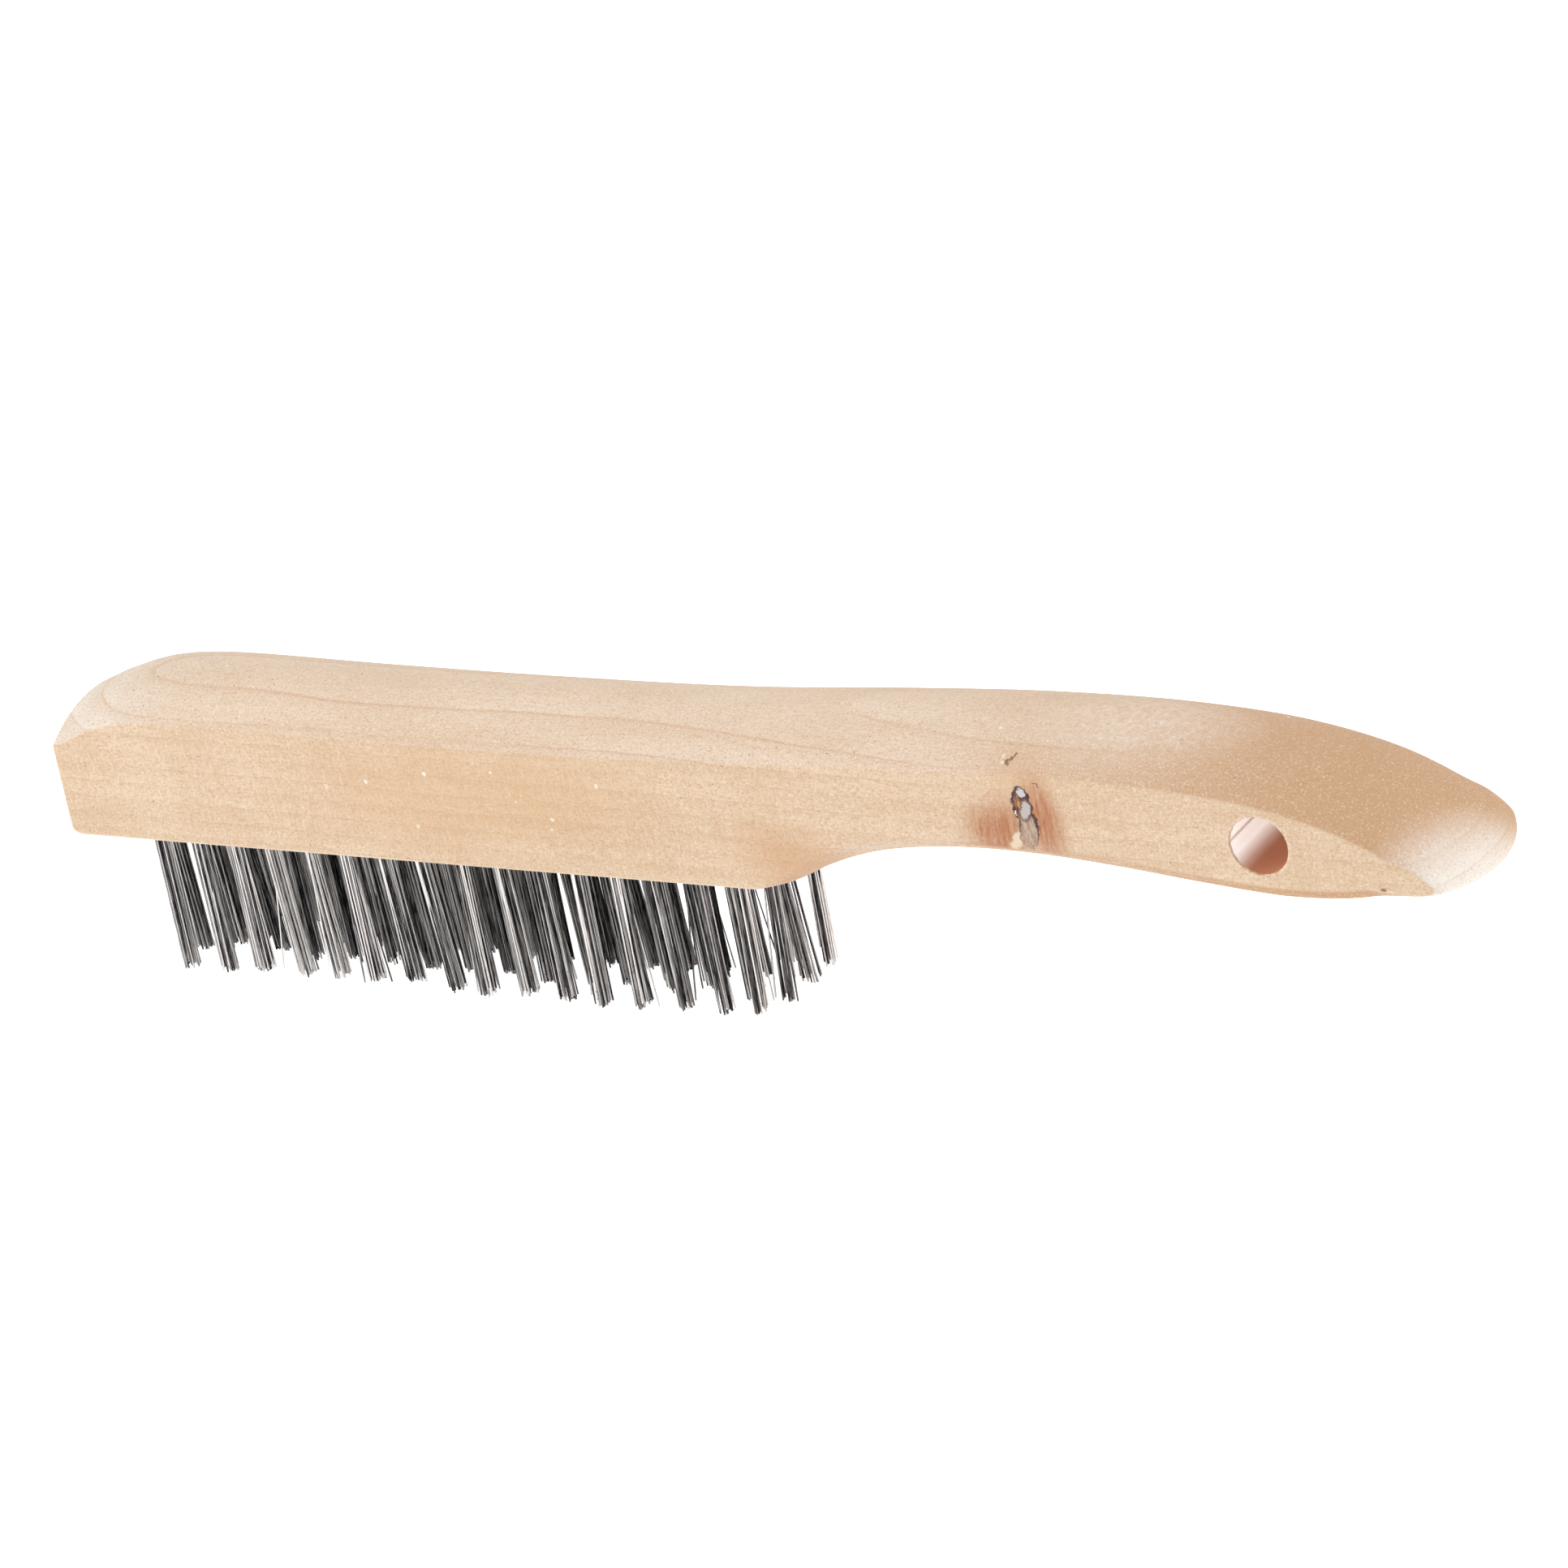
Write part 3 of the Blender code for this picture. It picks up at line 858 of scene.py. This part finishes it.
def wood_material():
    """Pale close-grained wood: growth rings, fibres, pores, saw marks on the sides, a knot and a warm grip, with
    painted highlights on the tip and the hole's upper wall and painted shade on the grip, the heel and the hole's
    lower wall.
    """
    c = colours()
    groups = shared_groups()
    look, s, shader, position = new_material("birch_wood")
    x, y, z = s.split(position)

    def patch(centre, reach, turn=0.0, softness=0.2, where=None):
        return s.group(
            groups["Patch"],
            {
                "Position": where or position, "Centre": centre, "Reach": reach, "Turn": math.radians(turn),
                "Softness": softness,
            },
        )

    def streaks(stretch, detail=3.0):
        return s.group(groups["Streaks"], {"Position": position, "Stretch": stretch, "Detail": detail})

    side = s.step(s.math("ABSOLUTE", y), HALF_WIDTH - 0.25, HALF_WIDTH - 0.02)
    near_side = s.step(y, NEAR_SIDE + 0.9, NEAR_SIDE + 0.3)

    # Growth rings: nearly level layers that wander, and swell round the knot
    wander = s.times(s.math("SUBTRACT", streaks((0.007, 0.02, 0.014), 1.0), 0.5), 5.0)
    ripple = s.times(s.math("SUBTRACT", streaks((0.03, 0.07, 0.1), 1.0), 0.5), 0.7)
    to_knot = s.math("SUBTRACT", x, KNOT[0])
    bump_out = s.math("EXPONENT", s.times(to_knot, to_knot, -0.014))
    above = s.math("SUBTRACT", z, KNOT[2])
    swell = s.times(bump_out, s.math("TANGENT", s.times(s.math("ARCTANGENT", above), 0.45)), -1.1)
    layers = s.total(z, s.times(x, RING_SLOPE), wander, ripple, s.times(swell, near_side))
    turns = s.math("DIVIDE", layers, RING_PITCH)
    year = s.math("FRACT", turns)
    rise = s.step(year, 0.89, 0.97)
    late = s.times(rise, s.step(year, 0.995, 0.972))
    band = s.step(year, 0.25, 0.97)
    line_strength = s.line(streaks((0.02, 0.05, 0.3), 1.0), 0.35, 0.65, 0.0, 1.0)

    # Base colour by place: pale nose, cream crown, plain side, warm grip darkened partly by painted shade, and a
    # painted highlight towards the tip
    crown = s.mix(s.step(x, -128.0, -96.0), full(c.nose_wood), full(c.crown_wood))
    # Warmer, darker crown towards the grip: partly the wood's own colour, partly painted shade
    warm = s.step(s.total(x, s.times(wander, 3.0)), 30.0, 112.0)
    crown = s.mix(warm, crown, full(c.grip_wood_and_shade))
    # Painted highlight: the crown turns pale towards the tip's far end, where light falls on it
    crown = s.mix(s.step(s.total(x, s.times(y, -0.5)), 121.0, 134.0, 0.0, 0.92), crown, full(TIP_HIGHLIGHT_PALE))
    base = s.mix(side, crown, full(c.side_wood))
    tone = s.line(streaks((0.03, 0.09, 0.28), 4.0), 0.3, 0.7, 0.0, 1.0)
    base = s.mix(s.times(tone, 0.36), base, full(TAN_CLOUD))
    base = s.mix(s.times(band, 0.12), base, full(c.late_wood))
    base = s.mix(s.times(late, line_strength, s.line(side, 0.0, 1.0, 0.42, 0.26)), base, full(c.late_wood))

    # Fibres, flecks and pores
    fibre = streaks((0.35, 5.0, 5.0), 4.0)
    flecks = streaks((1.1, 4.2, 6.5), 3.0)
    base = s.mix(s.line(fibre, 0.35, 0.7, 0.0, 0.26), base, full(FIBRE_BROWN))
    base = s.mix(s.step(flecks, 0.56, 0.72, 0.0, 0.45), base, full(FLECK_BROWN))
    speckle = s.noise(position, 2.6, 3.0, 0.7)
    base = s.mix(s.step(speckle, 0.52, 0.66, 0.0, 0.55), base, full(SPECKLE_BROWN))
    base = s.mix(s.step(speckle, 0.46, 0.32, 0.0, 0.40), base, full(SPECKLE_PALE))
    base = s.mix(s.step(streaks((2.2, 6.0, 8.0), 2.0), 0.62, 0.75, 0.0, 0.2), base, full(RAY_PALE))
    pore_field = s.add(
        "ShaderNodeTexVoronoi", {"Vector": s.vector("MULTIPLY", position, (0.55, 0.9, 0.9)), "Scale": 1.0},
    )
    pores = s.times(s.step(pore_field, 0.115, 0.06), s.step(s.noise(position, 0.7), 0.5, 0.6))
    base = s.mix(s.times(pores, 0.75), base, full(PORE))

    # Cutter marks that stand upright on the planed sides
    marks = streaks((3.3, 0.5, 0.22), 2.0)
    marked = s.times(side, s.step(s.noise(position, 0.06), 0.36, 0.6))
    base = s.mix(s.times(marked, s.line(marks, 0.35, 0.7, 0.0, 0.34)), base, full(CUTTER_BROWN))

    # A warmer stretch of the side, rubbed, with small pale chips
    rubbed = s.times(side, patch(*RUBBED, 4, 0.6))
    base = s.mix(s.times(rubbed, 0.34), base, full(RUBBED_TAN))
    chips_field = s.add("ShaderNodeTexVoronoi", {"Vector": position, "Scale": 0.42})
    chips = s.times(s.step(chips_field, 0.20, 0.13), s.step(s.noise(position, 0.30), 0.55, 0.60), rubbed)
    stray_field = s.add("ShaderNodeTexVoronoi", {"Vector": position, "Scale": 0.16})
    strays = s.times(s.step(stray_field, 0.075, 0.045), s.step(s.noise(position, 0.05), 0.56, 0.62))
    chips = s.math("MAXIMUM", chips, strays)
    base = s.mix(s.times(chips, 0.7), base, full(CHIP_WHITE))

    # Knot, its stained halo, and the small marks above it
    uneven = s.add("ShaderNodeTexNoise", {"Vector": position, "Scale": 1.3}, "Color")
    shake = s.scaled(s.vector("SUBTRACT", uneven, (0.5, 0.5, 0.5)), 1.3)
    shaken = s.vector("ADD", position, shake)

    def on_side(mask):
        return s.times(mask, near_side)

    kx, ky, kz = KNOT
    halo = s.math(
        "MAXIMUM",
        patch((kx - 6.0, ky, kz - 3.0), (5.2, 4, 4.6), 12, 0.75, shaken),
        patch((kx + 1.9, ky, kz - 0.8), (2.9, 4, 6.0), 10, 0.7, shaken),
    )
    over_halo = patch((kx - 1.6, ky, kz + 5.4), (4.6, 5, 5.0), 0, 0.8, shaken)
    base = s.mix(s.times(over_halo, 0.28), base, full(HALO_FAINT))
    streaked = s.line(streaks((2.4, 1.0, 0.35), 3.0), 0.3, 0.7, 0.5, 1.0)
    base = s.mix(on_side(s.times(halo, streaked)), base, full(c.knot_halo))
    lower_streak = patch((kx - 3.1, ky, kz - 4.2), (0.85, 2, 2.9), -33, 0.35, shaken)
    base = s.mix(on_side(s.times(lower_streak, 0.9)), base, full(KNOT_SPLIT))

    outer = s.math(
        "MAXIMUM",
        patch((kx - 1.45, ky, kz + 1.7), (1.70, 2, 3.25), 1, 0.10, shaken),
        patch((kx - 0.85, ky, kz - 2.2), (1.80, 2, 3.4), -4, 0.10, shaken),
    )
    upper = patch((kx - 1.5, ky, kz + 1.5), (1.28, 2, 2.75), 1, 0.14, shaken)
    lower = patch((kx - 0.95, ky, kz - 2.6), (1.50, 2, 3.15), -4, 0.14, shaken)
    grain = s.line(streaks((2.6, 1.0, 0.8), 4.0), 0.3, 0.7, 0.0, 1.0)
    base = s.mix(on_side(outer), base, full(c.knot_bark))
    base = s.mix(on_side(upper), base, s.mix(grain, full(c.knot_bark), full(KNOT_RUST)))
    base = s.mix(on_side(lower), base, s.mix(grain, full(KNOT_BROWN), full(KNOT_TAN)))
    for centre, reach, turn, tint, amount in (
        ((kx - 1.30, ky, kz + 3.80), (0.92, 2, 1.10), 0, full(c.knot_bark), 1.0),
        ((kx - 1.30, ky, kz + 3.85), (0.66, 2, 0.80), 0, full(KNOT_CAP), 1.0),
        ((kx - 2.0, ky, kz + 1.6), (0.28, 2, 0.95), 8, full(KNOT_RESIN), 0.9),
        ((kx - 0.90, ky, kz + 0.85), (1.08, 2, 1.95), -12, full(c.knot_bark), 0.95),
        ((kx - 0.95, ky, kz + 0.85), (0.80, 2, 1.60), -12, full(c.knot_core), 1.0),
        ((kx - 2.7, ky, kz + 0.3), (0.2, 2, 0.24), 0, full(KNOT_CHIP), 1.0),
    ):
        base = s.mix(on_side(s.times(patch(centre, reach, turn, 0.22, shaken), amount)), base, tint)

    for centre in TICKS:
        base = s.mix(s.times(patch(centre, (0.32, 0.5, 1.0), 0, 0.4, shaken), 0.8), base, full(TICK_BROWN))
    for centre in NICKS:
        base = s.mix(s.times(patch(centre, (0.3, 0.35, 1.0), 0, 0.5, shaken), 0.6), base, full(NICK_WHITE))
    hook = s.math("MAXIMUM", *(patch(centre, reach, turn, 0.3) for centre, reach, turn in HOOK))
    base = s.mix(s.times(hook, 0.8), base, full(HOOK_BROWN))
    speck = patch(*SPECK, 0, 0.4)
    base = s.mix(s.times(speck, 0.8), base, full(SPECK_BROWN))

    # Painted highlight, pale, on the last few millimetres of the grip's crown and end
    tip_end_highlight = s.step(s.total(x, s.times(y, -0.5)), 122.0, 134.0, 0.0, 0.32)
    base = s.mix(s.times(tip_end_highlight, s.math("SUBTRACT", 1.0, side)), base, full(TIP_END_HIGHLIGHT))

    # Whitish raised fuzz on the crest of the grip
    fuzz_patch = patch(*FUZZ, 0, 0.75)
    fuzz_grain = s.step(s.noise(position, 0.9, 6.0, 0.7), 0.34, 0.72, 0.25, 1.0)
    fuzz = s.times(fuzz_patch, fuzz_grain)
    base = s.mix(s.times(fuzz, 0.5), base, full(FUZZ_WHITE))

    # Hanging hole: a drilled wall with painted light, a pale highlight on its upper side and painted shade below, a
    # painted glow, and its torn rim
    hole = block_point(HANG_AT[0], 0, HANG_AT[1]) / MM
    away = s.add(
        "ShaderNodeVectorMath",
        {0: s.vector("MULTIPLY", s.vector("SUBTRACT", position, tuple(hole)), (1.0, 0.0, 1.0))},
        output="Value", operation="LENGTH",
    )
    wall = s.times(s.step(away, HANG_RADIUS + 0.07, HANG_RADIUS + 0.02), s.step(s.math("ABSOLUTE", y), 14.2, 13.7))
    # Painted light on the hole wall: pale highlight towards the upper side, painted shade towards the lower side
    lit = s.step(s.total(s.math("SUBTRACT", z, hole[2]), s.times(s.math("SUBTRACT", x, hole[0]), -0.5)), -3.6, 0.8)
    base = s.mix(wall, base, s.mix(lit, full(c.hole_wood_in_shade), full(PAINTED_WALL_HIGHLIGHT)))
    # Painted glow: the hole wall gives off light, most on its upper side, though it is no lamp
    look.cycles.emission_sampling = "NONE"
    s.tree.links.new(base, shader.inputs["Emission Color"])
    s.tree.links.new(s.times(wall, s.line(lit, 0.0, 1.0, 0.02, 0.42)), shader.inputs["Emission Strength"])
    rim = s.times(s.step(away, HANG_RADIUS + 0.65, HANG_RADIUS + 0.15), s.math("SUBTRACT", 1.0, wall))
    base = s.mix(s.times(rim, s.step(s.noise(position, 1.8, 3.0), 0.42, 0.6), 0.5), base, full(RIM_PALE))

    # Painted shade, warm and darker, on the heel where its underside turns down, and a paler rubbed corner along the
    # underside and the nose
    heel_shade = s.times(patch(*SHADED_HEEL, -20, 0.7), 0.55)
    base = s.mix(heel_shade, base, full(HEEL_SHADE_BROWN))
    low = s.times(s.step(z, BASE.z / MM + 0.55, BASE.z / MM + 0.1), s.step(x, 15.0, 0.0))
    base = s.mix(s.times(low, 0.45), base, full(CORNER_PALE))

    s.tree.links.new(base, shader.inputs["Base Color"])
    rough = s.line(fibre, 0.3, 0.7, 0.58, 0.74)
    s.tree.links.new(s.math("SUBTRACT", rough, s.times(on_side(outer), 0.15)), shader.inputs["Roughness"])
    shader.inputs["Specular IOR Level"].default_value = 0.32

    height = s.total(
        s.times(fibre, 0.020),
        s.times(s.noise(position, 2.6, 4.0, 0.65), 0.030),
        s.times(marked, marks, 0.022),
        s.times(late, -0.012),
        s.times(fuzz, 0.04),
        s.times(pores, -0.05),
        s.times(wall, s.noise(s.vector("MULTIPLY", position, (1.5, 0.4, 1.5)), 1.0, 3.0), 0.12),
        on_side(s.times(outer, s.noise(position, 2.0, 4.0), -0.14)),
        s.times(chips, 0.10),
    )
    bump = s.add("ShaderNodeBump", {"Strength": 0.55, "Distance": 0.001, "Height": height})
    s.tree.links.new(bump, shader.inputs["Normal"])
    return look


def bristle_material():
    """Drawn steel wire, each wire with its own tone, faint streaks, and a little rust near the ends; the outer lines
    of bundles are brighter by painted light, the inner ones darker by painted shade.
    """
    c = colours()
    groups = shared_groups()
    look, s, shader, position = new_material("drawn_steel_wire")
    _, _, z = s.split(position)
    tone = s.add("ShaderNodeAttribute", output="Fac", attribute_name="wire_tone")
    streak = s.group(
        groups["Streaks"], {"Position": position, "Stretch": (2.5, 2.5, 0.22), "Detail": 3.0, "Contrast": 1.4},
    )
    outer = s.add("ShaderNodeAttribute", output="Fac", attribute_name="outer_line_painted_light")
    # Painted light: wires of the outer lines brighter, so the inner lines look shaded
    spread = s.times(s.math("POWER", tone, 1.9), s.line(outer, 0.0, 1.0, 1.0, 1.9))
    shade = s.total(spread, s.times(s.math("SUBTRACT", streak, 0.5), 0.8), s.times(outer, 0.03))
    shade = s.math("MINIMUM", s.math("MAXIMUM", shade, 0.0), 1.0)
    base = s.mix(shade, full(c.dark_wire), full(c.pale_wire))
    spots = s.step(s.noise(position, 0.9, 4.0, 0.7), 0.56, 0.70)
    rust = s.times(spots, s.step(z, 9.0, 0.0, 0.25, 0.75))
    base = s.mix(rust, base, full(c.wire_rust))
    s.tree.links.new(base, shader.inputs["Base Color"])
    s.tree.links.new(s.math("SUBTRACT", 1.0, s.times(rust, 0.5)), shader.inputs["Metallic"])
    s.tree.links.new(s.total(s.line(streak, 0.2, 0.8, 0.30, 0.50), s.times(rust, 0.15)), shader.inputs["Roughness"])
    bump = s.add("ShaderNodeBump", {"Strength": 0.25, "Distance": 0.0002, "Height": streak})
    s.tree.links.new(bump, shader.inputs["Normal"])
    return look


def anchor_material():
    """Rolled flat steel with lengthwise marks."""
    groups = shared_groups()
    look, s, shader, position = new_material("rolled_steel")
    streak = s.group(
        groups["Streaks"], {"Position": position, "Stretch": (6.0, 0.5, 6.0), "Detail": 4.0, "Contrast": 1.2},
    )
    dull = s.step(s.noise(position, 0.4, 4.0, 0.6), 0.4, 0.65)
    base = s.mix(s.line(streak, 0.2, 0.8, 0.0, 0.5), full(colours().anchor_steel), full(DARK_STREAK))
    base = s.mix(s.times(dull, 0.4), base, full(DULL_STEEL))
    s.tree.links.new(base, shader.inputs["Base Color"])
    shader.inputs["Metallic"].default_value = 1.0
    s.tree.links.new(s.total(s.line(streak, 0.2, 0.8, 0.32, 0.5), s.times(dull, 0.1)), shader.inputs["Roughness"])
    bump = s.add("ShaderNodeBump", {"Strength": 0.3, "Distance": 0.0001, "Height": streak})
    s.tree.links.new(bump, shader.inputs["Normal"])
    return look


def floor_material():
    look, s, shader, position = new_material("studio_floor")
    grain = s.noise(position, 0.01, 2.0)
    tint = colours().floor
    base = s.mix(s.line(grain, 0.3, 0.7, 0.0, 0.02), full(tint), (0.9, 0.9, 0.9, 1.0))
    s.tree.links.new(base, shader.inputs["Base Color"])
    shader.inputs["Roughness"].default_value = 0.9
    shader.inputs["Emission Color"].default_value = (1.0, 1.0, 1.0, 1.0)
    seen = s.add("ShaderNodeLightPath", output="Is Camera Ray")
    s.tree.links.new(s.line(seen, 0.0, 1.0, 0.25, 0.95), shader.inputs["Emission Strength"])
    return look


# Operators


class BRUSH_OT_wood_block(bpy.types.Operator):
    """Model the wooden block with its crown, its softened creases, its drilled holes and its torn hole rim"""

    bl_idname = "brush.wood_block"
    bl_label = "Wooden Block"

    def execute(self, context):
        nothing_selected()
        bm = block_skin()
        round_the_nose(bm)
        for vert in bm.verts:
            vert.co = BASE + vert.co * MM
        block = object_from(bm, "wood_block")
        drilled(block)
        wear_the_rim(block)
        only(block)
        bpy.ops.object.mode_set(mode="EDIT")
        bpy.ops.mesh.select_all(action="SELECT")
        bpy.ops.mesh.remove_doubles(threshold=0.001 * MM)
        bpy.ops.mesh.normals_make_consistent(inside=False)
        bpy.ops.object.mode_set(mode="OBJECT")
        block = settle(block, "wood_block")
        smooth_and_weigh(block, math.radians(32))
        finished(block, wood_material(), ["handle_block"])
        return {"FINISHED"}


class BRUSH_OT_bristle_rows(bpy.types.Operator):
    """Fold and splay the steel wires of the sixteen transverse rows of bundles"""

    bl_idname = "brush.bristle_rows"
    bl_label = "Bristle Rows"

    def execute(self, context):
        nothing_selected()
        look = bristle_material()
        wire = straight_wire(sizes().wire_radius, 1.0, 12)
        for row in range(ROWS):
            finished(bristle_row(row, wire), look, [f"tuft_row_{row + 1:02d}"])
        bpy.data.objects.remove(wire, do_unlink=True)
        return {"FINISHED"}


class BRUSH_OT_anchor_rows(bpy.types.Operator):
    """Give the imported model's flat anchors their rolled steel finish"""

    bl_idname = "brush.anchor_rows"
    bl_label = "Anchor Rows"

    def execute(self, context):
        look = anchor_material()
        for name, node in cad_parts.items():
            if name.startswith("anchor_row_"):
                node.data.materials.clear()
                node.data.materials.append(look)
        return {"FINISHED"}


def area_light(name, direction, distance, size, energy):
    """A soft panel that shines at the brush from this direction."""
    data = bpy.data.lights.new(name, "AREA")
    data.shape = "RECTANGLE"
    data.size, data.size_y = size
    data.energy = energy
    obj = bpy.data.objects.new(name, data)
    bpy.context.scene.collection.objects.link(obj)
    way = Vector(direction).normalized()
    obj.location = Vector(PANEL_AIM) + way * distance
    obj.rotation_euler = way.to_track_quat("Z", "Y").to_euler()
    return obj


class BRUSH_OT_stage(bpy.types.Operator):
    """Set out the pale floor, the soft studio light and the camera"""

    bl_idname = "brush.stage"
    bl_label = "Studio Stage"

    def execute(self, context):
        nothing_selected()
        scene = context.scene
        bpy.ops.mesh.primitive_plane_add(size=sizes().floor_size, location=(0, 0, FLOOR_HEIGHT))
        floor = settle(bpy.context.object, "studio_floor")
        floor.data.materials.append(floor_material())

        world = bpy.data.worlds.new("studio")
        world.use_nodes = True
        back = world.node_tree.nodes["Background"]
        back.inputs["Color"].default_value = (1.0, 1.0, 1.0, 1.0)
        back.inputs["Strength"].default_value = WORLD_STRENGTH
        scene.world = world

        for panel in PANELS:
            area_light(*panel)

        right, up = Vector(CAMERA_RIGHT), Vector(CAMERA_UP)
        away = right.cross(up)
        turned = Matrix((right, up, away)).transposed().to_4x4()
        data = bpy.data.cameras.new("camera")
        data.lens = CAMERA_LENS
        data.sensor_width = CAMERA_SENSOR
        data.sensor_fit = "HORIZONTAL"
        data.clip_start, data.clip_end = 0.01, 100.0
        camera = bpy.data.objects.new("camera", data)
        camera.matrix_world = Matrix.Translation(CAMERA_AT) @ turned
        scene.collection.objects.link(camera)
        scene.camera = camera
        scene.view_settings.view_transform = "Standard"
        return {"FINISHED"}


OPERATORS = (BRUSH_OT_wood_block, BRUSH_OT_bristle_rows, BRUSH_OT_anchor_rows, BRUSH_OT_stage)


class BRUSH_PT_panel(bpy.types.Panel):
    """Buttons that build the brush, with its sizes and colours"""

    bl_idname = "BRUSH_PT_panel"
    bl_label = "Wire Scratch Brush"
    bl_space_type = "VIEW_3D"
    bl_region_type = "UI"
    bl_category = "Brush"

    def draw(self, context):
        column = self.layout.column()
        for operator in OPERATORS:
            column.operator(operator.bl_idname)
        for group in (context.scene.brush_sizes, context.scene.brush_colours):
            for name in group.bl_rna.properties.keys():
                if name not in ("rna_type", "name"):
                    column.prop(group, name)


CLASSES = (BrushSizes, BrushColours, *OPERATORS, BRUSH_PT_panel)


def register():
    for cls in CLASSES:
        bpy.utils.register_class(cls)
    bpy.types.Scene.brush_sizes = bpy.props.PointerProperty(type=BrushSizes)
    bpy.types.Scene.brush_colours = bpy.props.PointerProperty(type=BrushColours)


def unregister():
    del bpy.types.Scene.brush_colours
    del bpy.types.Scene.brush_sizes
    for cls in reversed(CLASSES):
        bpy.utils.unregister_class(cls)


def main():
    register()
    bpy.ops.brush.wood_block()
    bpy.ops.brush.bristle_rows()
    bpy.ops.brush.anchor_rows()
    bpy.ops.brush.stage()
    nothing_selected()


if __name__ == "__main__":
    main()
